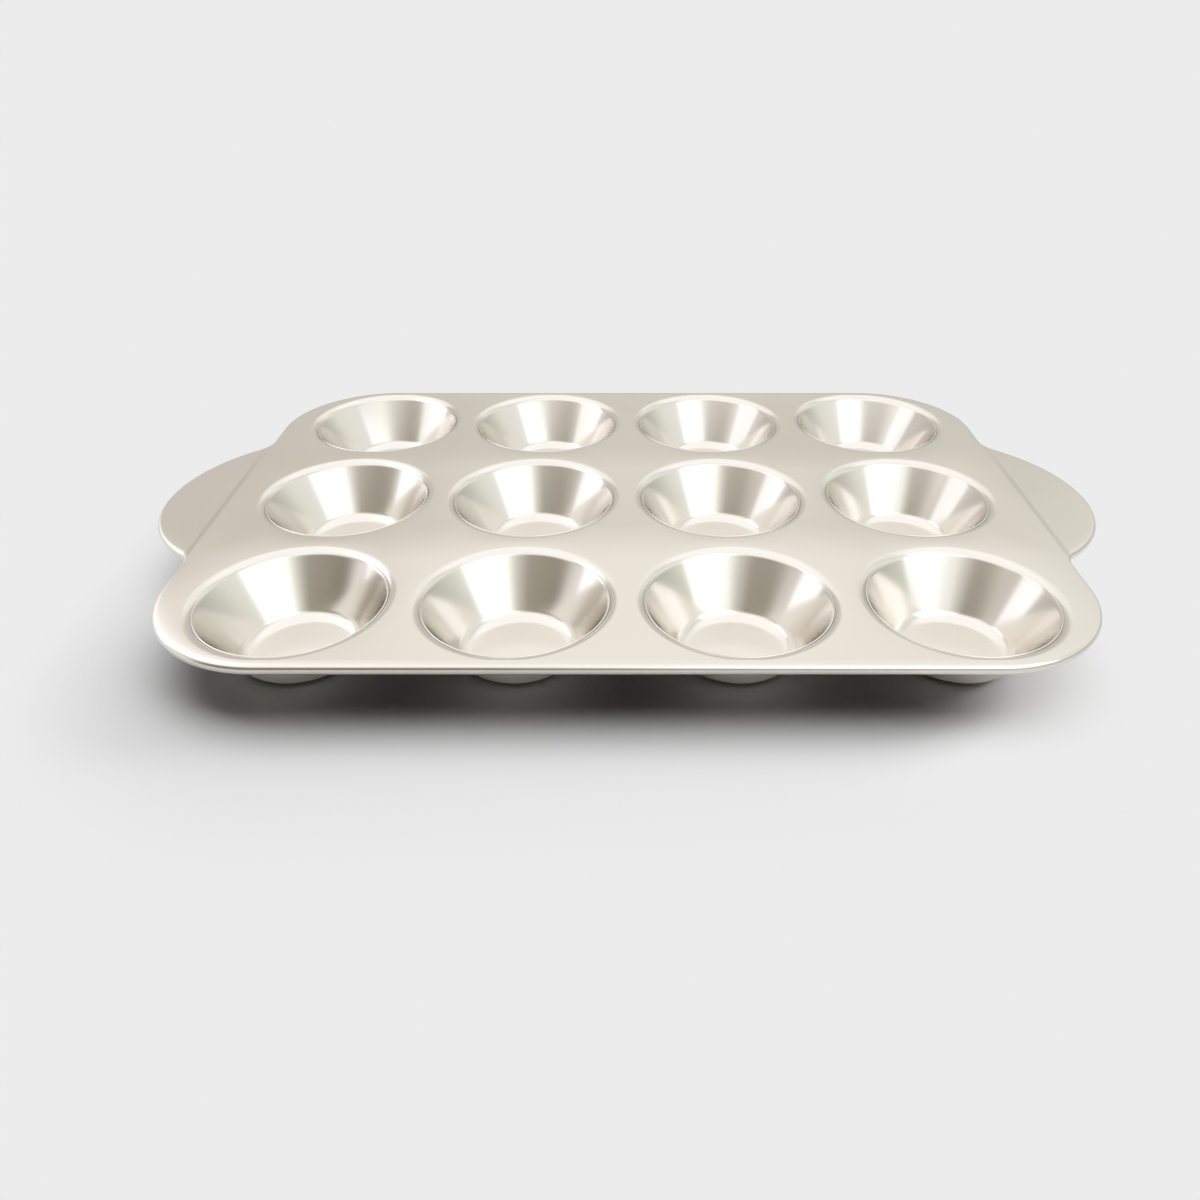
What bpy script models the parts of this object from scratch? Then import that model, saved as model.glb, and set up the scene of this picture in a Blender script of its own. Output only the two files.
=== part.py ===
"""A twelve-cup pan for baking cheese bread, in metres, +Z up.

A pressed steel deck carries twelve drawn cups in three rows of four. Every hole in the deck turns down over a
rounded shoulder into a short conical collar, and a cup sits in each collar by its own taper. The deck's outline
has rounded corners and a handle wing on each short side, and its whole edge is curled round a steel wire.

The origin is under the middle of the pan, on the plane that the cup floors stand on. X runs along the rows.
"""

import math

import bmesh
import bpy

# The grid of cups
COLUMNS = 4
ROW_NAMES = ("front", "middle", "back")
COLUMN_LAND = 0.00705  # flat deck between the shoulders of two cups in a row
ROW_LAND = 0.00755  # the same between two rows

# One cup, measured on its inner face
CUP_DEPTH = 0.0230  # from the top of the deck to the cup's floor
CUP_MOUTH_RADIUS = 0.0337  # where the wall's cone would reach the top of the deck
CUP_FLOOR_RADIUS = 0.0205  # where the wall's cone would reach the floor
CUP_FLOOR_FILLET = 0.0040
CUP_SHEET = 0.0005
LIP_FLARE = math.radians(11)  # how far the lip turns outwards over the shoulder

# The deck
DECK_SHEET = 0.0006
SIDE_LAND = 0.0093  # flat deck between the shoulders and the bead's ramp at the short sides
END_LAND = 0.0004  # the same at the long sides
CORNER_RADIUS = 0.0475
SHOULDER_RADIUS = 0.0032
COLLAR_LENGTH = 0.0030
SEAT_GAP = 0.0003  # between a cup and its collar

# The handle wings
HANDLE_REACH = 0.0275
HANDLE_HALF_SPAN = 0.0570  # to where the concave blend leaves the short side
HANDLE_BLEND_RADIUS = 0.0120
HANDLE_SLOPE = math.radians(2.2)
CREASE_OFFSET = 0.0005  # from the short side out to the crease

# The curled edge and its wire
BEAD_RADIUS = 0.0019
BEAD_PROUD = 0.0004  # how far the bead stands above the deck
BEAD_RAMP = 0.0010  # the width over which the deck rises to the bead
CURL_START = math.radians(112)
CURL_END = math.radians(-176)
WIRE_GAP = 0.0003

# How finely round forms are divided
ROUND_STEPS = 28
FILLET_STEPS = 2
SHOULDER_STEPS = 2
CORNER_STEPS = 6
HANDLE_STEPS = 5
BLEND_STEPS = 2
CURL_STEPS = 6
SMOOTH_ANGLE = math.radians(50)
MERGE_DISTANCE = 0.00001
SAME = 1e-7

# Sizes that follow from the ones above
ROWS = len(ROW_NAMES)
DECK_TOP = CUP_SHEET + CUP_DEPTH
WALL_TAPER = math.atan2(CUP_MOUTH_RADIUS - CUP_FLOOR_RADIUS, CUP_DEPTH)
WALL_TURN = math.pi / 2 - WALL_TAPER
COLLAR_MOUTH_RADIUS = CUP_MOUTH_RADIUS + (CUP_SHEET + SEAT_GAP) / math.cos(WALL_TAPER)
HOLE_RADIUS = COLLAR_MOUTH_RADIUS + SHOULDER_RADIUS * math.tan(WALL_TURN / 2)
COLUMN_PITCH = 2 * HOLE_RADIUS + COLUMN_LAND
ROW_PITCH = 2 * HOLE_RADIUS + ROW_LAND
RIM_WIDTH = BEAD_RADIUS - BEAD_RADIUS * math.cos(CURL_START) + BEAD_RAMP
SIDE = (COLUMNS - 1) / 2 * COLUMN_PITCH + HOLE_RADIUS + SIDE_LAND + RIM_WIDTH
END = (ROWS - 1) / 2 * ROW_PITCH + HOLE_RADIUS + END_LAND + RIM_WIDTH
CREASE = SIDE + CREASE_OFFSET
BEAD_CENTRE = DECK_TOP + BEAD_PROUD - BEAD_RADIUS
CURL_STEP = (CURL_START - CURL_END) / CURL_STEPS
CURL_CLEAR = BEAD_RADIUS * math.cos(CURL_STEP / 2) - DECK_SHEET
WIRE_RADIUS = CURL_CLEAR - WIRE_GAP


def clear_scene():
    for obj in list(bpy.data.objects):
        bpy.data.objects.remove(obj, do_unlink=True)


def make_collection(name):
    collection = bpy.data.collections.new(name)
    bpy.context.scene.collection.children.link(collection)
    return collection


def make_material(name, colour, roughness, metallic):
    material = bpy.data.materials.new(name)
    material.use_nodes = True
    shader = material.node_tree.nodes["Principled BSDF"]
    shader.inputs["Base Color"].default_value = (*colour, 1.0)
    shader.inputs["Roughness"].default_value = roughness
    shader.inputs["Metallic"].default_value = metallic
    return material


def add_object(collection, name, data, parent, location=(0.0, 0.0, 0.0)):
    obj = bpy.data.objects.new(name, data)
    obj.location = location
    obj.parent = parent
    collection.objects.link(obj)
    return obj


def add_solidify(obj, thickness, offset):
    solidify = obj.modifiers.new("sheet", "SOLIDIFY")
    solidify.thickness = thickness
    solidify.offset = offset
    solidify.use_even_offset = True


def arc(centre, radius, start, stop, steps):
    """The points of an arc in steps, from start up to but not including stop."""
    angles = (start + (stop - start) * step / steps for step in range(steps))
    return [(centre[0] + radius * math.cos(a), centre[1] + radius * math.sin(a)) for a in angles]


def shoulder_profile():
    """The deck's upper face from a hole's edge on the flat deck to the collar's lower end, as (radius, height)."""
    centre = (HOLE_RADIUS, DECK_TOP - SHOULDER_RADIUS)
    turned = math.pi / 2 + WALL_TURN
    profile = arc(centre, SHOULDER_RADIUS, math.pi / 2, turned, SHOULDER_STEPS)
    cone_top = (
        centre[0] + SHOULDER_RADIUS * math.cos(turned),
        centre[1] + SHOULDER_RADIUS * math.sin(turned),
    )
    cone_end = (cone_top[0] - COLLAR_LENGTH * math.tan(WALL_TAPER), cone_top[1] - COLLAR_LENGTH)
    return profile + [cone_top, cone_end]


def cup_profile():
    """The cup's inner face from the lip to the centre of the floor, as (radius, height)."""
    lip_centre = (HOLE_RADIUS, DECK_TOP - SHOULDER_RADIUS)
    lip_radius = SHOULDER_RADIUS + SEAT_GAP + CUP_SHEET
    turned = math.pi / 2 + WALL_TURN
    lip = arc(lip_centre, lip_radius, turned - LIP_FLARE, turned + LIP_FLARE, 2)
    fillet_tangent = CUP_FLOOR_FILLET * math.tan(WALL_TURN / 2)
    fillet_centre = (CUP_FLOOR_RADIUS - fillet_tangent, CUP_SHEET + CUP_FLOOR_FILLET)
    floor_angle = -math.pi / 2
    fillet = arc(fillet_centre, CUP_FLOOR_FILLET, floor_angle + WALL_TURN, floor_angle, FILLET_STEPS)
    return lip + fillet + [(fillet_centre[0], CUP_SHEET), (0.0, CUP_SHEET)]


def outline(inset):
    """The pan's outline, drawn in by inset, anticlockwise from the tip of the right-hand handle."""
    blend_centre = (SIDE + HANDLE_BLEND_RADIUS, HANDLE_HALF_SPAN)
    centres_apart = (HANDLE_REACH**2 + HANDLE_HALF_SPAN**2) / (2 * HANDLE_REACH)
    handle_radius = centres_apart - HANDLE_BLEND_RADIUS
    handle_centre = (SIDE + HANDLE_REACH - handle_radius, 0.0)
    handle_turn = math.atan2(HANDLE_HALF_SPAN, blend_centre[0] - handle_centre[0])
    crease_turn = math.acos((blend_centre[0] - CREASE) / (HANDLE_BLEND_RADIUS + inset))
    corner_centre = (SIDE - CORNER_RADIUS, END - CORNER_RADIUS)

    quarter = arc(handle_centre, handle_radius - inset, 0.0, handle_turn, HANDLE_STEPS)
    blend = HANDLE_BLEND_RADIUS + inset
    quarter += arc(blend_centre, blend, math.pi + handle_turn, math.pi + crease_turn, BLEND_STEPS)
    quarter += arc(blend_centre, blend, math.pi + crease_turn, math.pi, BLEND_STEPS)
    quarter.append((SIDE - inset, HANDLE_HALF_SPAN))
    quarter += arc(corner_centre, CORNER_RADIUS - inset, 0.0, math.pi / 2, CORNER_STEPS)
    quarter.append((corner_centre[0], END - inset))

    back = quarter + [(-x, y) for x, y in reversed(quarter)]
    front = [(x, -y) for x, y in reversed(back[1:-1])]
    return back + front


def curl_profile():
    """The bead's upper face as (inset from the outline, height above the ground), from the deck round the wire."""
    profile = []
    for step in range(CURL_STEPS + 1):
        angle = CURL_START - CURL_STEP * step
        profile.append(
            (BEAD_RADIUS - BEAD_RADIUS * math.cos(angle), BEAD_CENTRE + BEAD_RADIUS * math.sin(angle))
        )
    return [(RIM_WIDTH, DECK_TOP)] + profile


def handle_drop(x):
    """How far the wing has sloped down at a distance x from the middle."""
    return max(0.0, abs(x) - CREASE) * math.tan(HANDLE_SLOPE)


def extrude_loop(bm, edges, place):
    """Extrudes a closed loop of edges and puts each new vertex where place says. Returns the new loop."""
    made = bmesh.ops.extrude_edge_only(bm, edges=edges)["geom"]
    for vert in made:
        if isinstance(vert, bmesh.types.BMVert):
            vert.co = place(vert)
    return [edge for edge in made if isinstance(edge, bmesh.types.BMEdge) and edge.is_boundary]


def add_loop(bm, points):
    verts = [bm.verts.new(point) for point in points]
    return [bm.edges.new((vert, verts[index - 1])) for index, vert in enumerate(verts)]


def cup_centres():
    """(name, x, y) of every cup, row by row from the front, and left to right."""
    for row in range(ROWS):
        for column in range(COLUMNS):
            x = (column - (COLUMNS - 1) / 2) * COLUMN_PITCH
            y = (row - (ROWS - 1) / 2) * ROW_PITCH
            yield f"cup_{ROW_NAMES[row]}_{column + 1}", x, y


def on_wing(edge):
    return all(abs(vert.co.x) > CREASE - SAME for vert in edge.verts)


def fill_deck(bm, rim, holes):
    """Fills the flat deck round its holes and the two sloping wings, which meet it at the creases."""
    creases = []
    for side in (-1, 1):
        ends = {vert for edge in rim for vert in edge.verts if abs(vert.co.x - side * CREASE) < SAME}
        creases.append(bm.edges.new(tuple(ends)))
    wings = [edge for edge in rim if on_wing(edge)]
    flat = [edge for edge in rim if not on_wing(edge)]
    bmesh.ops.triangle_fill(bm, use_beauty=True, edges=flat + creases + sum(holes, []))
    for side, crease in zip((-1, 1), creases):
        loop = [edge for edge in wings if edge.verts[0].co.x * side > 0]
        bmesh.ops.triangle_fill(bm, use_beauty=True, edges=loop + [crease])


def face_up(bm):
    """Turns every face of the sheet the same way, with the flat deck's faces up."""
    bmesh.ops.recalc_face_normals(bm, faces=bm.faces)
    bm.normal_update()
    if max(bm.faces, key=lambda face: face.calc_area()).normal.z < 0:
        bmesh.ops.reverse_faces(bm, faces=bm.faces)


def deck_mesh():
    """The deck's upper face as one open sheet: flat deck, shoulders and collars, wings and curled edge."""
    bm = bmesh.new()
    place_in_ring = bm.verts.layers.int.new("place_in_ring")
    curl = curl_profile()
    rim = add_loop(bm, [(x, y, curl[0][1] - handle_drop(x)) for x, y in outline(curl[0][0])])
    for index, vert in enumerate(bm.verts):
        vert[place_in_ring] = index

    profile = shoulder_profile()
    centres = [(x, y) for _, x, y in cup_centres()]
    holes = []
    for centre in centres:
        circle = arc(centre, profile[0][0], 0.0, 2 * math.pi, ROUND_STEPS)
        holes.append(add_loop(bm, [(x, y, profile[0][1]) for x, y in circle]))
    fill_deck(bm, rim, holes)

    for (x, y), hole in zip(centres, holes):
        for (before, _), (radius, height) in zip(profile, profile[1:]):
            scale = radius / before
            hole = extrude_loop(
                bm, hole, lambda v: (x + (v.co.x - x) * scale, y + (v.co.y - y) * scale, height)
            )
    for inset, height in curl[1:]:
        ring = [(px, py, height - handle_drop(px)) for px, py in outline(inset)]
        rim = extrude_loop(bm, rim, lambda v: ring[v[place_in_ring]])
    face_up(bm)

    mesh = bpy.data.meshes.new("deck_sheet")
    bm.to_mesh(mesh)
    bm.free()
    mesh.shade_smooth()
    mesh.set_sharp_from_angle(angle=SMOOTH_ANGLE)
    return mesh


def build_deck(collection, parent, material):
    deck = add_object(collection, "deck_plate", deck_mesh(), parent)
    deck.data.materials.append(material)
    add_solidify(deck, DECK_SHEET, -1.0)


def build_cups(collection, parent, material):
    """Twelve cups that share one profile, turned about their own axes and thickened outwards."""
    bm = bmesh.new()
    verts = [bm.verts.new((radius, 0.0, height)) for radius, height in cup_profile()]
    for first, second in zip(verts, verts[1:]):
        bm.edges.new((first, second))
    mesh = bpy.data.meshes.new("cup_profile")
    bm.to_mesh(mesh)
    bm.free()
    mesh.materials.append(material)
    for name, x, y in cup_centres():
        cup = add_object(collection, name, mesh, parent, (x, y, 0.0))
        turned = cup.modifiers.new("turned", "SCREW")
        turned.steps = ROUND_STEPS
        turned.render_steps = ROUND_STEPS
        turned.use_merge_vertices = True
        turned.merge_threshold = MERGE_DISTANCE
        turned.use_smooth_shade = True
        add_solidify(cup, CUP_SHEET, 1.0)


def build_wire(collection, parent, material):
    """The closed wire loop along the middle of the bead."""
    curve = bpy.data.curves.new("rim_wire_path", "CURVE")
    curve.dimensions = "3D"
    curve.bevel_depth = WIRE_RADIUS
    curve.bevel_resolution = 1
    path = outline(BEAD_RADIUS)
    spline = curve.splines.new("POLY")
    spline.points.add(len(path) - 1)
    for point, (x, y) in zip(spline.points, path):
        point.co = (x, y, -handle_drop(x), 1.0)
    spline.use_cyclic_u = True
    wire = add_object(collection, "rim_wire", curve, parent, (0.0, 0.0, BEAD_CENTRE))
    wire.data.materials.append(material)


def main():
    clear_scene()
    collection = make_collection("cheese_bread_pan")
    pan = add_object(collection, "pan", None, None)
    coating = make_material("champagne_coating", (0.60, 0.55, 0.47), 0.30, 1.0)
    cup_coating = make_material("champagne_cup_coating", (0.62, 0.57, 0.50), 0.24, 1.0)
    steel = make_material("drawn_steel_wire", (0.45, 0.45, 0.46), 0.35, 1.0)
    build_deck(collection, pan, coating)
    build_cups(collection, pan, cup_coating)
    build_wire(collection, pan, steel)


main()
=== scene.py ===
import math

import bmesh
import bpy
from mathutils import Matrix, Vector


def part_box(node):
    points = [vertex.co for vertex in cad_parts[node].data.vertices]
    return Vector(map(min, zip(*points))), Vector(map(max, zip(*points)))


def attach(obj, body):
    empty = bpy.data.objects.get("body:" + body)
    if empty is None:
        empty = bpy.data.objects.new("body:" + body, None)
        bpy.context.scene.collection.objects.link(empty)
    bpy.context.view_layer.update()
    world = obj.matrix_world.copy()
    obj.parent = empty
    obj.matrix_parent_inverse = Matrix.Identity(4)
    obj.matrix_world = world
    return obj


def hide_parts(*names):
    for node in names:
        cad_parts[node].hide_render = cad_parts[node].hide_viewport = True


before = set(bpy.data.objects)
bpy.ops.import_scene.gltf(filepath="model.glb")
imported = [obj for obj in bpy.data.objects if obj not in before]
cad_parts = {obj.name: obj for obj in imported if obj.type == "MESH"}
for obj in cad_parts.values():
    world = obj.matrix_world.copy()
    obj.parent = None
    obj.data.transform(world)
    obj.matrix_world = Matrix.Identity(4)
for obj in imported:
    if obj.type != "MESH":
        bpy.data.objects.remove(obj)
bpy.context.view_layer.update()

# The pan's sizes in metres, as in the CAD model unless a comment says otherwise
COLUMNS = 4
ROW_NAMES = ("front", "middle", "back")
CUP_DEPTH = 0.0230
CUP_MOUTH_RADIUS = 0.0337
CUP_FLOOR_RADIUS = 0.0205
CUP_FLOOR_FILLET = 0.0060  # 4 mm in the CAD model
CUP_SHEET = 0.0005
LIP_FLARE = math.radians(15)  # 11 degrees in the CAD model
LIP_CLOSER = 0.0002  # how much of the seat gap a lip closes, none in the CAD model
SEAT_GAP = 0.0003  # between a cup and its collar
DECK_SHEET = 0.0006
SHOULDER_RADIUS = 0.0044  # 3.2 mm in the CAD model
COLLAR_DEPTH = 0.0046  # from the top of the deck to the foot of a collar
CORNER_RADIUS = 0.0475
HANDLE_REACH = 0.0275
HANDLE_HALF_SPAN = 0.0570
HANDLE_BLEND_RADIUS = 0.0120
HANDLE_SLOPE = math.radians(2.2)
WIRE_RADIUS = 0.00083

# The rolled edge, from the deck outwards: radius, the slopes in degrees between which it bends, and steps.
# The CAD model has a round bead in its place.
ROLLED_EDGE = (
    (0.0120, 0, 6, 3),
    (0.0012, 6, 50, 9),
    (0.0026, 50, 72, 5),
    (0.00035, 72, 97, 4),
    (0.0120, 97, 104, 3),
    (0.00145, 104, 290, 14),
)
EDGE_TRIM = 0.00008  # how far inside its outline the CAD model's faceted bead ends

# The shoulders beside the rim
RIM_LAND = 0.0010  # flat deck that they leave free
RIM_CLEARANCE = 0.0001  # and a little more, so that no two edges meet
SHORTEST_SHOULDER = 0.0015  # from where it starts to the collar
SHOULDER_TRIM = 0.00002  # what is taken off at a time until a shoulder has room

# The crease between the deck and a wing: a soft groove with a darker line of painted shade in the coating's
# colour, and a sharp bend in the CAD model
CREASE_OFFSET = 0.0005  # from the short side out to the crease
CREASE_HALF_WIDTH = 0.0016
CREASE_GROOVE = 0.00004
CREASE_SHADE_EDGE = (0.00018, 0.0018)  # distances from the crease between which the painted shade fades out
CREASE_SHADE_FADE = (0.0, 0.060)  # where the painted shade fades out towards the back
CREASE_SHADE_TONE = 0.84  # the painted shade's share of the coating's colour

# How finely round forms are divided
ROUND_STEPS = 144
LIP_STEPS = 6
SHOULDER_STEPS = 10
FILLET_STEPS = 14
CORNER_STEPS = 30
HANDLE_STEPS = 58
BLEND_STEPS = 18
CREASE_STEPS = 14
WIRE_BEVEL_STEPS = 4
WALL_CUTS = (0.0, 0.02, 0.35, 0.7, 0.98)  # rings of a cup's wall, as shares of the way down
FLOOR_CUTS = (1.0, 0.985, 0.5)  # rings of its floor, as shares of the floor's radius
SUPPORT = 0.00012  # the width of the faces that hold the shading flat beside a bend
MERGE_DISTANCE = 1e-8

# Sizes that follow from the ones above
DECK_TOP = CUP_SHEET + CUP_DEPTH
WALL_TAPER = math.atan2(CUP_MOUTH_RADIUS - CUP_FLOOR_RADIUS, CUP_DEPTH)
WALL_TURN = math.pi / 2 - WALL_TAPER
COLLAR_MOUTH_RADIUS = CUP_MOUTH_RADIUS + (CUP_SHEET + SEAT_GAP) / math.cos(WALL_TAPER)
HOLE_RADIUS = COLLAR_MOUTH_RADIUS + SHOULDER_RADIUS * math.tan(WALL_TURN / 2)
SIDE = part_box("deck_plate")[1].x - HANDLE_REACH + EDGE_TRIM
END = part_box("deck_plate")[1].y + EDGE_TRIM
CREASE = SIDE + CREASE_OFFSET

# The champagne coating: colour and roughness, and what its flake, orange peel and slow drift change
DECK_COATING = ((0.80, 0.765, 0.715), 0.20)
CUP_COATING = ((0.81, 0.775, 0.725), 0.19)
CUP_OUTSIDE_ROUGHNESS = 0.75
LOOKS_DOWN = -0.1  # only the outer face of a cup has a normal that falls further than this
NOISE_RANGE = (0.3, 0.7)  # where most of a noise texture's values lie
FLAKE_NOISE = (2600.0, 2.0)  # scale and detail
PEEL_NOISE = (420.0, 1.0)
DRIFT_NOISE = (22.0, 2.0)
TONE_SPREAD = 0.03
TONE_FROM_FLAKE = 0.55
TONE_FROM_DRIFT = 0.45
GLOSS_FROM_FLAKE = 0.01
GLOSS_FROM_DRIFT = 0.015
FLAKE_HEIGHT = 0.00000025
PEEL_HEIGHT = 0.0000012

# The drawn steel of the wire
GRAIN_NOISE = (900.0, 2.0)
STEEL_TONES = ((0.0, (0.36, 0.36, 0.37)), (1.0, (0.52, 0.52, 0.52)))
STEEL_ROUGHNESS = (0.28, 0.42)

# The floor is as bright as the backdrop away from the pan, and keeps the pan's shadow in a soft-edged oblong
BACKGROUND = (0.838, 0.838, 0.838)
FLOOR_SIZE = 8.0
FLOOR_GAP = 0.0002  # below the pan
SHADOW_CENTRE = (-0.014, -0.0155, 0.0)
SHADOW_HALF_SIZE = (0.0894, 0.0573, 1.0)
SHADOW_FADE = (0.05, 0.123)  # distances from the oblong between which the shadow fades out

# The room that the metal reflects. Its colours go by the height of the direction. A sector comes in softly
# between two values of the direction's x, and the gap in front between two cosines of the angle to it.
CEILING = ((0.82, (1.26, 1.27, 1.25)), (1.00, (1.21, 1.21, 1.21)))
ROOM_STOPS = (
    (0.00, (0.55, 0.545, 0.53)),
    (0.30, (0.69, 0.677, 0.64)),
    (0.42, (0.72, 0.697, 0.633)),
    (0.50, (0.97, 0.952, 0.908)),
    (0.58, (1.15, 1.13, 1.08)),
    (0.68, (1.03, 1.045, 1.02)),
) + CEILING
BACK_LEFT_STOPS = (
    (0.00, (0.50, 0.495, 0.485)),
    (0.34, (0.745, 0.705, 0.69)),
    (0.45, (0.56, 0.522, 0.42)),
    (0.55, (1.13, 1.085, 1.06)),
    (0.68, (1.20, 1.20, 1.17)),
) + CEILING
BACK_LEFT_SECTOR = (-0.05, -0.40)
RIGHT_STOPS = (
    (0.00, (0.45, 0.455, 0.435)),
    (0.25, (0.699, 0.724, 0.644)),
    (0.36, (0.922, 0.942, 0.864)),
    (0.50, (0.973, 0.994, 0.984)),
    (0.68, (0.833, 0.854, 0.81)),
) + CEILING
RIGHT_SECTOR = (0.351, 0.605)
LEFT_STOPS = (
    (0.00, (0.933, 0.924, 0.921)),
    (0.25, (0.96, 0.928, 0.908)),
    (0.36, (0.729, 0.701, 0.67)),
    (0.50, (0.642, 0.64, 0.629)),
    (0.68, (0.948, 0.949, 0.951)),
) + CEILING
LEFT_SECTOR = (-0.769, -0.970)
GAP_STOPS = (
    (0.00, (0.298, 0.298, 0.296)),
    (0.20, (0.228, 0.214, 0.187)),
    (0.32, (0.225, 0.195, 0.145)),
    (0.42, (0.37, 0.345, 0.29)),
    (0.50, (0.375, 0.353, 0.29)),
    (0.58, (0.46, 0.44, 0.385)),
    (0.66, (0.90, 0.877, 0.852)),
    (0.76, (1.19, 1.19, 1.19)),
) + CEILING
GAP_SECTOR = (0.586, 0.825)
GAP_AZIMUTH = math.radians(-23.3)  # from the pan's front, to the right
ROOM_ON_FLOOR = (0.02, 0.02, 0.021)

# The softboxes. Cycles adds one to the room behind it.
FLOOR_LAMPS = (  # name, place, size and radiance
    ("floor_key", (0.025, 0.065, 0.828), (1.871, 0.708), 2.15),
    ("floor_side", (2.103, 0.673, 0.954), (0.728, 0.715), 24.2),
)
FLOOR_AIM = Vector((0.0, 0.0, 0.0))
PAN_AIM = Vector((0.0, 0.0, 0.03))
LEFT_PLACE = Vector((-0.406, 0.08, 0.213))
LEFT_SIZE = (0.31, 0.335)
LEFT_RADIANCE = 0.68
LEFT_COLOUR = (0.88, 0.90, 1.0)
FRONT_RIGHT_EDGE = Vector((0.12, -0.467, 0.277))
FRONT_RIGHT_ALONG = Vector((-0.770, -0.637, 0.0))
FRONT_RIGHT_SIZE = (0.427, 0.312)
FRONT_RIGHT_RADIANCE = 0.72
FRONT_RIGHT_COLOUR = (0.86, 0.92, 1.0)
FADE_STRIP_WIDTH = 0.046
FADE_RADIANCES = (0.78, 0.54, 0.41, 0.28, 0.22, 0.155, 0.12)
FADE_COLOUR = (0.95, 1.0, 1.0)

# The camera, in pixels of the photograph and metres
PHOTO_WIDTH = 1200
FOCAL_LENGTH = 937.9
CAMERA_SHIFT = -27.1
CAMERA_DISTANCE = 0.3607
CAMERA_ABOVE_DECK = 0.1841
CAMERA_TILT = 33.42  # degrees below level
CAMERA_CLIP_START = 0.01
SENSOR_WIDTH = 36.0  # in millimetres


def rolled_edge():
    """The rim's upper and outer face from the deck's flat to the end of its curl, as (inset, drop)."""
    x = z = 0.0
    points = [(x, z)]
    for radius, start, stop, steps in ROLLED_EDGE:
        slopes = [math.radians(start + (stop - start) * step / steps) for step in range(steps + 1)]
        for before, after in zip(slopes, slopes[1:]):
            x += radius * (math.sin(after) - math.sin(before))
            z += radius * (math.cos(after) - math.cos(before))
            points.append((x, z))
    outermost = max(x for x, z in points)
    return [(outermost - x, -z) for x, z in points]


RIM_WIDTH = rolled_edge()[0][0] + RIM_LAND


def rim_profile():
    """The upper face from the flat deck out to the edge and round its roll, as (inset, height)."""
    flat = [(RIM_WIDTH + SUPPORT, DECK_TOP), (RIM_WIDTH, DECK_TOP)]
    return flat + [(inset, DECK_TOP - drop) for inset, drop in rolled_edge()]


def wire_place():
    """Where the wire runs in the rolled edge, in the middle of its last arc, as (inset, height)."""
    radius, start, _, steps = ROLLED_EDGE[-1]
    inset, drop = rolled_edge()[-1 - steps]
    start = math.radians(start)
    return inset + radius * math.sin(start), DECK_TOP - drop - radius * math.cos(start)


def cup_centres():
    """(name, x, y) of every cup, taken from the CAD model."""
    for row in ROW_NAMES:
        for column in range(COLUMNS):
            name = f"cup_{row}_{column + 1}"
            low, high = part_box(name)
            yield name, (low.x + high.x) / 2, (low.y + high.y) / 2


def arc(centre, radius, start, stop, steps):
    """The points of an arc in steps, from start up to but not including stop."""
    angles = (start + (stop - start) * step / steps for step in range(steps))
    return [(centre[0] + radius * math.cos(a), centre[1] + radius * math.sin(a)) for a in angles]


def outline(inset):
    """The pan's outline, drawn in by inset, anticlockwise from the tip of the right-hand handle."""
    inset = inset + EDGE_TRIM
    blend_centre = (SIDE + HANDLE_BLEND_RADIUS, HANDLE_HALF_SPAN)
    centres_apart = (HANDLE_REACH**2 + HANDLE_HALF_SPAN**2) / (2 * HANDLE_REACH)
    handle_radius = centres_apart - HANDLE_BLEND_RADIUS
    handle_centre = (SIDE + HANDLE_REACH - handle_radius, 0.0)
    handle_turn = math.atan2(HANDLE_HALF_SPAN, blend_centre[0] - handle_centre[0])
    blend_radius = HANDLE_BLEND_RADIUS + inset
    corner_centre = (SIDE - CORNER_RADIUS, END - CORNER_RADIUS)

    quarter = arc(handle_centre, handle_radius - inset, 0.0, handle_turn, HANDLE_STEPS)
    quarter += arc(blend_centre, blend_radius, math.pi + handle_turn, math.pi, BLEND_STEPS)
    quarter.append((SIDE - inset, HANDLE_HALF_SPAN))
    quarter += arc(corner_centre, CORNER_RADIUS - inset, 0.0, math.pi / 2, CORNER_STEPS)
    quarter.append((corner_centre[0], END - inset))
    back = quarter + [(-x, y) for x, y in reversed(quarter)]
    return back + [(x, -y) for x, y in reversed(back[1:-1])]


def wing_drop(x):
    """How far the wing has sloped down at a distance x from the middle, with a soft bend at the crease."""
    past = abs(x) - CREASE
    if past <= -CREASE_HALF_WIDTH:
        return 0.0
    if past >= CREASE_HALF_WIDTH:
        return past * math.tan(HANDLE_SLOPE)
    bend = (past + CREASE_HALF_WIDTH) ** 2 / (4 * CREASE_HALF_WIDTH) * math.tan(HANDLE_SLOPE)
    return bend + CREASE_GROOVE * (1 + math.cos(math.pi * past / CREASE_HALF_WIDTH)) / 2


def add_loop(bm, points, numbers=None):
    """A closed loop of new edges through the points. Numbers is a layer that keeps each vertex's place."""
    verts = [bm.verts.new(point) for point in points]
    if numbers is not None:
        for index, vert in enumerate(verts):
            vert[numbers] = index
    return [bm.edges.new((vert, verts[index - 1])) for index, vert in enumerate(verts)]


def extrude_loop(bm, edges, place):
    """Extrudes a closed loop of edges and puts each new vertex where place says. Returns the new loop."""
    made = bmesh.ops.extrude_edge_only(bm, edges=edges)["geom"]
    for vert in made:
        if isinstance(vert, bmesh.types.BMVert):
            vert.co = place(vert)
    return [edge for edge in made if isinstance(edge, bmesh.types.BMEdge) and edge.is_boundary]


def smooth_mesh(bm, name, upper_face):
    """Turns all faces the same way, with the given one upwards, and returns the finished smooth mesh."""
    bmesh.ops.recalc_face_normals(bm, faces=bm.faces)
    bm.normal_update()
    if upper_face.normal.z < 0:
        bmesh.ops.reverse_faces(bm, faces=bm.faces)
    mesh = bpy.data.meshes.new(name)
    bm.to_mesh(mesh)
    bm.free()
    mesh.shade_smooth()
    return mesh


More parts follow.
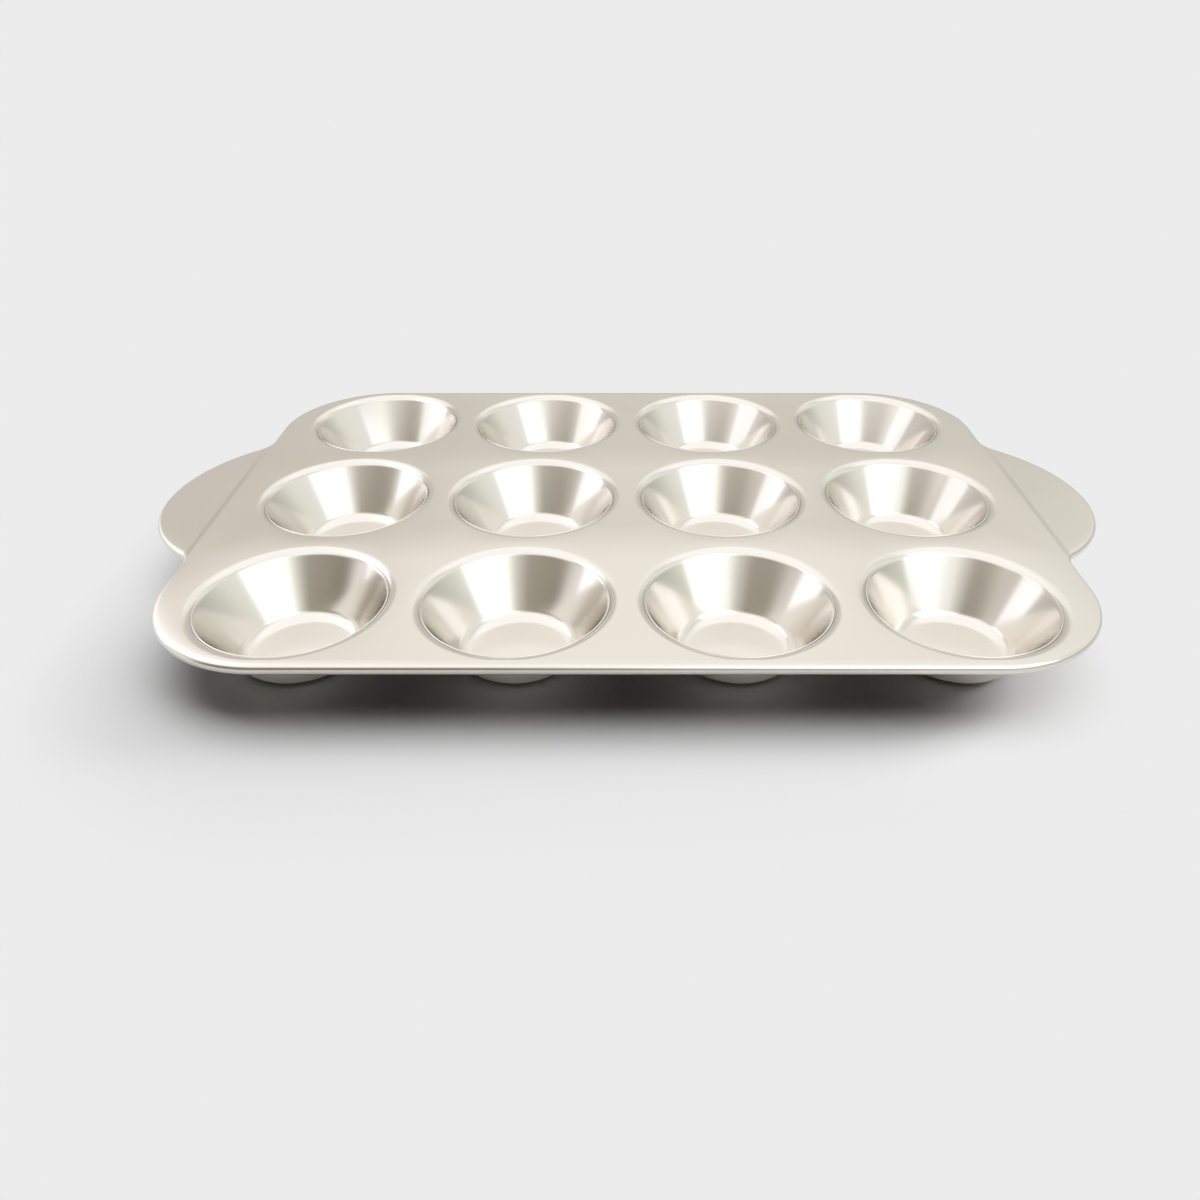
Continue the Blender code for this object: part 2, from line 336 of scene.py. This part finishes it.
def clears_rim(x, y):
    """Whether a shoulder may start at a point of the deck, clear of the rim at the long sides and corners."""
    inset = RIM_WIDTH + SUPPORT + RIM_CLEARANCE
    past_x, past_y = abs(x) - (SIDE - CORNER_RADIUS), abs(y) - (END - CORNER_RADIUS)
    in_corner = min(past_x, past_y) > 0
    if in_corner and math.hypot(past_x, past_y) > CORNER_RADIUS - inset:
        return False
    return abs(y) < END - inset


def shoulder_start(x, y, angle):
    """How far from the middle of a hole at (x, y) its shoulder starts, drawn in where the rim needs room."""
    start, shortest = HOLE_RADIUS, COLLAR_MOUTH_RADIUS + SHORTEST_SHOULDER
    while start > shortest and not clears_rim(x + start * math.cos(angle), y + start * math.sin(angle)):
        start -= SHOULDER_TRIM
    return max(start, shortest)


def shoulder_rings(x, y):
    """The deck's upper face from the flat deck over the shoulder of a hole at (x, y) and down its collar."""
    turns = [2 * math.pi * step / ROUND_STEPS for step in range(ROUND_STEPS)]
    starts = [shoulder_start(x, y, angle) for angle in turns]
    rings = []
    for part in range(SHOULDER_STEPS + 1):
        turned = WALL_TURN * part / SHOULDER_STEPS
        ring = []
        for start in starts:
            radius = (start - COLLAR_MOUTH_RADIUS) / math.tan(WALL_TURN / 2)
            ring.append((start - radius * math.sin(turned), DECK_TOP - radius * (1 - math.cos(turned))))
        rings.append(ring)
    foot = (COLLAR_MOUTH_RADIUS - COLLAR_DEPTH * math.tan(WALL_TAPER), DECK_TOP - COLLAR_DEPTH)
    rings.append([foot] * ROUND_STEPS)
    return [
        [(x + r * math.cos(a), y + r * math.sin(a), z) for a, (r, z) in zip(turns, ring)]
        for ring in rings
    ]


def cut_at_creases(bm):
    """Divides the deck's faces along both creases, so that they can bend there."""
    cuts = [CREASE_HALF_WIDTH * (2 * step / CREASE_STEPS - 1) for step in range(CREASE_STEPS + 1)]
    cuts = [cuts[0] - SUPPORT] + cuts + [cuts[-1] + SUPPORT]
    for side in (-1, 1):
        for cut in cuts:
            bmesh.ops.bisect_plane(
                bm,
                geom=bm.verts[:] + bm.edges[:] + bm.faces[:],
                dist=MERGE_DISTANCE,
                plane_co=(side * (CREASE + cut), 0.0, 0.0),
                plane_no=(side, 0.0, 0.0),
            )


def deck_mesh():
    """The deck's upper face as one open sheet, with smooth shoulders, creases and rim."""
    bm = bmesh.new()
    place_in_ring = bm.verts.layers.int.new("place_in_ring")
    (inset, height), *rim_steps = rim_profile()
    rim = add_loop(bm, [(x, y, height) for x, y in outline(inset)], place_in_ring)
    holes = []
    for _, x, y in cup_centres():
        mouth, *rings = shoulder_rings(x, y)
        holes.append((add_loop(bm, mouth, place_in_ring), rings))
    bmesh.ops.triangle_fill(bm, use_beauty=True, edges=sum((hole for hole, _ in holes), rim))
    for hole, rings in holes:
        for ring in rings:
            hole = extrude_loop(bm, hole, lambda v: ring[v[place_in_ring]])
    for inset, height in rim_steps:
        ring = [(x, y, height) for x, y in outline(inset)]
        rim = extrude_loop(bm, rim, lambda v: ring[v[place_in_ring]])
    cut_at_creases(bm)
    for vert in bm.verts:
        vert.co.z -= wing_drop(vert.co.x)
    return smooth_mesh(bm, "deck_fine", max(bm.faces, key=lambda face: face.calc_area()))


def cup_profile():
    """The cup's inner face from the lip to the centre of the floor, as (radius, height)."""
    lip_centre = (HOLE_RADIUS, DECK_TOP - SHOULDER_RADIUS)
    lip_radius = SHOULDER_RADIUS + SEAT_GAP - LIP_CLOSER + CUP_SHEET
    turned = math.pi / 2 + WALL_TURN
    lip = arc(lip_centre, lip_radius, turned - LIP_FLARE, turned, LIP_STEPS)
    top = (lip_centre[0] + lip_radius * math.cos(turned), lip_centre[1] + lip_radius * math.sin(turned))
    fillet_tangent = CUP_FLOOR_FILLET * math.tan(WALL_TURN / 2)
    fillet_centre = (CUP_FLOOR_RADIUS - fillet_tangent, CUP_SHEET + CUP_FLOOR_FILLET)
    down = -math.pi / 2
    fillet = arc(fillet_centre, CUP_FLOOR_FILLET, down + WALL_TURN, down, FILLET_STEPS)
    foot = fillet[0]
    wall = [(top[0] + (foot[0] - top[0]) * cut, top[1] + (foot[1] - top[1]) * cut) for cut in WALL_CUTS]
    floor = [(fillet_centre[0] * cut, CUP_SHEET) for cut in FLOOR_CUTS]
    return lip + wall + fillet + floor + [(0.0, CUP_SHEET)]


def cup_mesh():
    """One cup turned about its own axis, as an open inner face that Solidify thickens outwards."""
    bm = bmesh.new()
    profile = cup_profile()
    mouth_radius, mouth_height = profile[0]
    mouth = arc((0.0, 0.0), mouth_radius, 0.0, 2 * math.pi, ROUND_STEPS)
    ring = add_loop(bm, [(x, y, mouth_height) for x, y in mouth])
    for (before, _), (radius, height) in zip(profile, profile[1:-1]):
        scale = radius / before
        ring = extrude_loop(bm, ring, lambda v: (v.co.x * scale, v.co.y * scale, height))
    centre = bm.verts.new((0.0, 0.0, profile[-1][1]))
    for edge in ring:
        bm.faces.new((edge.verts[0], edge.verts[1], centre))
    return smooth_mesh(bm, "cup_fine", min(bm.faces, key=lambda face: face.calc_center_median().z))


def wire_curve():
    """The closed wire loop inside the rolled edge."""
    curve = bpy.data.curves.new("rim_wire_path", "CURVE")
    curve.dimensions = "3D"
    curve.bevel_depth = WIRE_RADIUS
    curve.bevel_resolution = WIRE_BEVEL_STEPS
    inset, height = wire_place()
    path = outline(inset)
    spline = curve.splines.new("POLY")
    spline.points.add(len(path) - 1)
    for point, (x, y) in zip(spline.points, path):
        point.co = (x, y, height - wing_drop(x), 1.0)
    spline.use_cyclic_u = True
    return curve


def feed(tree, socket, value):
    """Links a socket to another one, or sets it to a constant."""
    if isinstance(value, bpy.types.NodeSocket):
        tree.links.new(value, socket)
    else:
        socket.default_value = value


def rgba(colour, share=1.0):
    """A colour, or a share of it, as the constant of a colour socket."""
    return (*[channel * share for channel in colour], 1.0)


def math_node(tree, operation, first, second=0.0):
    node = tree.nodes.new("ShaderNodeMath")
    node.operation = operation
    feed(tree, node.inputs[0], first)
    feed(tree, node.inputs[1], second)
    return node.outputs["Value"]


def map_range(tree, value, source, target=(0.0, 1.0), interpolation="LINEAR"):
    """Takes a value from one range to another, and keeps it in the second."""
    node = tree.nodes.new("ShaderNodeMapRange")
    node.interpolation_type = interpolation
    node.inputs["From Min"].default_value, node.inputs["From Max"].default_value = source
    node.inputs["To Min"].default_value, node.inputs["To Max"].default_value = target
    tree.links.new(value, node.inputs["Value"])
    return node.outputs["Result"]


def smoothstep(tree, value, source):
    """0 at the first value of the range and 1 at the second, eased at both ends."""
    return map_range(tree, value, source, interpolation="SMOOTHSTEP")


def noise(tree, place, scale, detail):
    node = tree.nodes.new("ShaderNodeTexNoise")
    node.inputs["Scale"].default_value = scale
    node.inputs["Detail"].default_value = detail
    tree.links.new(place, node.inputs["Vector"])
    return node.outputs["Fac"]


def mix_colours(tree, factor, first, second):
    node = tree.nodes.new("ShaderNodeMix")
    node.data_type = "RGBA"
    tree.links.new(factor, node.inputs["Factor"])
    feed(tree, node.inputs["A"], first)
    feed(tree, node.inputs["B"], second)
    return node.outputs["Result"]


def mix_shaders(tree, factor, first, second):
    node = tree.nodes.new("ShaderNodeMixShader")
    for socket, value in zip(node.inputs, (factor, first, second)):
        tree.links.new(value, socket)
    return node.outputs["Shader"]


def colour_ramp(tree, value, stops):
    node = tree.nodes.new("ShaderNodeValToRGB")
    elements = node.color_ramp.elements
    while len(elements) < len(stops):
        elements.new(0.5)
    for element, (position, colour) in zip(elements, stops):
        element.position = position
        element.color = rgba(colour)
    tree.links.new(value, node.inputs["Fac"])
    return node.outputs["Color"]


def axes_of(tree, vector):
    """The three outputs of a node that takes a vector apart."""
    node = tree.nodes.new("ShaderNodeSeparateXYZ")
    tree.links.new(vector, node.inputs["Vector"])
    return node.outputs


def metal_material(name):
    """A new metal material, with its tree, its shader and the outputs of its texture coordinates."""
    material = bpy.data.materials.new(name)
    material.use_nodes = True
    tree = material.node_tree
    shader = tree.nodes["Principled BSDF"]
    shader.inputs["Metallic"].default_value = 1.0
    return material, tree, shader, tree.nodes.new("ShaderNodeTexCoord").outputs


def paint_crease_shade(tree, place, colour, surface):
    """The surface's colour with painted shade along both creases: a darker line, which fades out towards the
    back.
    """
    axes = axes_of(tree, place)
    from_middle = math_node(tree, "ABSOLUTE", axes["X"])
    from_crease = math_node(tree, "ABSOLUTE", math_node(tree, "SUBTRACT", from_middle, CREASE))
    beside = smoothstep(tree, from_crease, CREASE_SHADE_EDGE)
    plain = math_node(tree, "MAXIMUM", beside, smoothstep(tree, axes["Y"], CREASE_SHADE_FADE))
    return mix_colours(tree, plain, rgba(colour, CREASE_SHADE_TONE), surface)


def coating_material(name, colour, roughness, with_crease_shade=False, outside=None):
    """A satin champagne coating: fine flake, soft orange peel and slight changes of tone and gloss."""
    material, tree, shader, place = metal_material(name)
    flake = noise(tree, place["Object"], *FLAKE_NOISE)
    peel = noise(tree, place["Object"], *PEEL_NOISE)
    drift = noise(tree, place["Object"], *DRIFT_NOISE)

    from_flake = math_node(tree, "MULTIPLY", map_range(tree, flake, NOISE_RANGE), TONE_FROM_FLAKE)
    from_drift = math_node(tree, "MULTIPLY", map_range(tree, drift, NOISE_RANGE), TONE_FROM_DRIFT)
    tone = math_node(tree, "ADD", from_flake, from_drift)
    surface = mix_colours(tree, tone, rgba(colour, 1 - TONE_SPREAD), rgba(colour, 1 + TONE_SPREAD))
    if with_crease_shade:
        # painted shade: a darker line in the coating's colour along both creases
        surface = paint_crease_shade(tree, place["Object"], colour, surface)
    tree.links.new(surface, shader.inputs["Base Color"])

    slow_range = (roughness - GLOSS_FROM_DRIFT, roughness + GLOSS_FROM_DRIFT)
    slow = map_range(tree, drift, NOISE_RANGE, slow_range)
    fine = map_range(tree, flake, NOISE_RANGE, (-GLOSS_FROM_FLAKE, GLOSS_FROM_FLAKE))
    gloss = math_node(tree, "ADD", slow, fine)
    if outside:
        normal = axes_of(tree, place["Normal"])
        outer = math_node(tree, "LESS_THAN", normal["Z"], LOOKS_DOWN)
        gloss = math_node(tree, "ADD", gloss, math_node(tree, "MULTIPLY", outer, outside - roughness))
    tree.links.new(gloss, shader.inputs["Roughness"])

    flake_height = math_node(tree, "MULTIPLY", flake, FLAKE_HEIGHT)
    peel_height = math_node(tree, "MULTIPLY", peel, PEEL_HEIGHT)
    bump = tree.nodes.new("ShaderNodeBump")
    bump.inputs["Distance"].default_value = 1.0
    tree.links.new(math_node(tree, "ADD", flake_height, peel_height), bump.inputs["Height"])
    tree.links.new(bump.outputs["Normal"], shader.inputs["Normal"])
    return material


def steel_material(name):
    """Drawn steel wire with a fine grain in its tone and gloss."""
    material, tree, shader, place = metal_material(name)
    grain = noise(tree, place["Object"], *GRAIN_NOISE)
    tree.links.new(colour_ramp(tree, grain, STEEL_TONES), shader.inputs["Base Color"])
    roughness = map_range(tree, grain, (0.0, 1.0), STEEL_ROUGHNESS)
    tree.links.new(roughness, shader.inputs["Roughness"])
    return material


def add_piece(name, data, node, material, thickness=None, location=(0.0, 0.0, 0.0)):
    """Puts a piece in the place of a CAD node, as a sheet of the given thickness or as it is."""
    obj = bpy.data.objects.new(name, data)
    bpy.context.scene.collection.objects.link(obj)
    obj.location = location
    if not data.materials:
        data.materials.append(material)
    if thickness:
        solidify = obj.modifiers.new("sheet", "SOLIDIFY")
        solidify.thickness = thickness
        solidify.offset = -1.0
        solidify.use_even_offset = True
    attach(obj, "root")
    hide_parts(node)


def build_pan():
    # the deck's coating gets painted shade along its creases
    coating = coating_material("champagne_coating", *DECK_COATING, with_crease_shade=True)
    cup_coating = coating_material("champagne_cup_coating", *CUP_COATING, outside=CUP_OUTSIDE_ROUGHNESS)
    steel = steel_material("drawn_steel_wire")
    add_piece("pan_deck", deck_mesh(), "deck_plate", coating, DECK_SHEET)
    cup = cup_mesh()
    for name, x, y in cup_centres():
        add_piece(f"pan_{name}", cup, name, cup_coating, CUP_SHEET, (x, y, 0.0))
    add_piece("pan_rim_wire", wire_curve(), "rim_wire", steel)


def emission(tree, colour, strength):
    node = tree.nodes.new("ShaderNodeEmission")
    node.inputs["Color"].default_value = rgba(colour)
    node.inputs["Strength"].default_value = strength
    return node.outputs["Emission"]


def floor_material(name):
    """A plain floor that catches the pan's shadow and has the backdrop's colour away from it."""
    material = bpy.data.materials.new(name)
    material.use_nodes = True
    tree = material.node_tree
    tree.nodes.clear()
    place = tree.nodes.new("ShaderNodeTexCoord")
    path = tree.nodes.new("ShaderNodeLightPath")

    def vector_math(operation, first, second=None):
        node = tree.nodes.new("ShaderNodeVectorMath")
        node.operation = operation
        tree.links.new(first, node.inputs[0])
        if second:
            node.inputs[1].default_value = second
        return node.outputs["Value" if operation == "LENGTH" else "Vector"]

    beside = vector_math("ABSOLUTE", vector_math("SUBTRACT", place.outputs["Object"], SHADOW_CENTRE))
    beside = vector_math("MAXIMUM", vector_math("SUBTRACT", beside, SHADOW_HALF_SIZE), (0.0, 0.0, 0.0))
    far = smoothstep(tree, vector_math("LENGTH", beside), SHADOW_FADE)
    seen = math_node(tree, "MAXIMUM", path.outputs["Is Camera Ray"], path.outputs["Is Glossy Ray"])
    plain_share = math_node(tree, "MULTIPLY", far, seen)

    # The floor isn't lit by itself again, so its shadow stays deep under the pan
    again = math_node(tree, "GREATER_THAN", path.outputs["Diffuse Depth"], 0.5)
    diffuse = tree.nodes.new("ShaderNodeBsdfDiffuse")
    diffuse.inputs["Color"].default_value = rgba(BACKGROUND)
    lit = mix_shaders(tree, again, diffuse.outputs["BSDF"], emission(tree, BACKGROUND, 0.0))
    surface = mix_shaders(tree, plain_share, lit, emission(tree, BACKGROUND, 1.0))
    out = tree.nodes.new("ShaderNodeOutputMaterial")
    tree.links.new(surface, out.inputs["Surface"])
    return material


def build_floor():
    mesh = bpy.data.meshes.new("floor")
    bm = bmesh.new()
    bmesh.ops.create_grid(bm, x_segments=1, y_segments=1, size=FLOOR_SIZE / 2)
    bm.to_mesh(mesh)
    bm.free()
    floor = bpy.data.objects.new("studio_floor", mesh)
    bpy.context.scene.collection.objects.link(floor)
    floor.location.z = -FLOOR_GAP
    mesh.materials.append(floor_material("studio_floor"))


def build_world():
    """A plain backdrop for the camera, and for the metal a room with a bright ceiling and a dark gap."""
    world = bpy.data.worlds.new("studio")
    bpy.context.scene.world = world
    world.use_nodes = True
    tree = world.node_tree
    tree.nodes.clear()
    direction = tree.nodes.new("ShaderNodeTexCoord").outputs["Generated"]
    axes = axes_of(tree, direction)
    path = tree.nodes.new("ShaderNodeLightPath")
    towards_gap = tree.nodes.new("ShaderNodeVectorMath")
    towards_gap.operation = "DOT_PRODUCT"
    tree.links.new(direction, towards_gap.inputs[0])
    towards_gap.inputs[1].default_value = (math.sin(GAP_AZIMUTH), -math.cos(GAP_AZIMUTH), 0.0)

    def background(colour):
        node = tree.nodes.new("ShaderNodeBackground")
        feed(tree, node.inputs["Color"], colour)
        return node.outputs["Background"]

    def wall(stops):
        return background(colour_ramp(tree, axes["Z"], stops))

    room = wall(ROOM_STOPS)
    for value, sector, stops in (
        (axes["X"], BACK_LEFT_SECTOR, BACK_LEFT_STOPS),
        (axes["X"], RIGHT_SECTOR, RIGHT_STOPS),
        (axes["X"], LEFT_SECTOR, LEFT_STOPS),
        (towards_gap.outputs["Value"], GAP_SECTOR, GAP_STOPS),
    ):
        room = mix_shaders(tree, smoothstep(tree, value, sector), room, wall(stops))
    on_floor = background(rgba(ROOM_ON_FLOOR))
    lit = mix_shaders(tree, path.outputs["Is Glossy Ray"], on_floor, room)
    backdrop = background(rgba(BACKGROUND))
    seen = mix_shaders(tree, path.outputs["Is Camera Ray"], lit, backdrop)
    out = tree.nodes.new("ShaderNodeOutputWorld")
    tree.links.new(seen, out.inputs["Surface"])


def add_softbox(name, place, aim, size, radiance, colour=(1.0, 1.0, 1.0), on_floor=False):
    """A rectangular softbox of a given radiance that lights the metal, or only the floor."""
    width, height = size
    lamp = bpy.data.lights.new(name, "AREA")
    lamp.shape = "RECTANGLE"
    lamp.size = width
    lamp.size_y = height
    lamp.energy = radiance * math.pi * width * height
    lamp.color = colour
    obj = bpy.data.objects.new(name, lamp)
    bpy.context.scene.collection.objects.link(obj)
    obj.location = place
    obj.rotation_euler = (aim - Vector(place)).to_track_quat("-Z", "Y").to_euler()
    obj.visible_camera = False
    obj.visible_glossy = not on_floor
    obj.visible_diffuse = on_floor


def build_lights():
    """The floor's softboxes, and for the metal one on the left and one in front that fades out leftwards."""
    for name, place, size, radiance in FLOOR_LAMPS:
        add_softbox(name, place, FLOOR_AIM, size, radiance, on_floor=True)
    width, height = FRONT_RIGHT_SIZE
    middle = FRONT_RIGHT_EDGE - FRONT_RIGHT_ALONG * (width / 2)
    facing = PAN_AIM - middle
    add_softbox("front_right", middle, PAN_AIM, FRONT_RIGHT_SIZE, FRONT_RIGHT_RADIANCE, FRONT_RIGHT_COLOUR)
    for index, radiance in enumerate(FADE_RADIANCES):
        place = FRONT_RIGHT_EDGE + FRONT_RIGHT_ALONG * (FADE_STRIP_WIDTH * (index + 0.5))
        name = f"front_right_fade_{index + 1}"
        add_softbox(name, place, place + facing, (FADE_STRIP_WIDTH, height), radiance, FADE_COLOUR)
    add_softbox("left", LEFT_PLACE, PAN_AIM, LEFT_SIZE, LEFT_RADIANCE, LEFT_COLOUR)


def build_camera():
    camera = bpy.data.cameras.new("camera")
    camera.sensor_width = SENSOR_WIDTH
    camera.lens = FOCAL_LENGTH / PHOTO_WIDTH * SENSOR_WIDTH
    camera.shift_x = CAMERA_SHIFT / PHOTO_WIDTH
    camera.clip_start = CAMERA_CLIP_START
    obj = bpy.data.objects.new("camera", camera)
    bpy.context.scene.collection.objects.link(obj)
    obj.location = (0.0, -CAMERA_DISTANCE, DECK_TOP + CAMERA_ABOVE_DECK)
    obj.rotation_euler = (math.radians(90 - CAMERA_TILT), 0.0, 0.0)
    bpy.context.scene.camera = obj


build_pan()
build_floor()
build_world()
build_lights()
build_camera()
bpy.context.scene.view_settings.view_transform = "Standard"
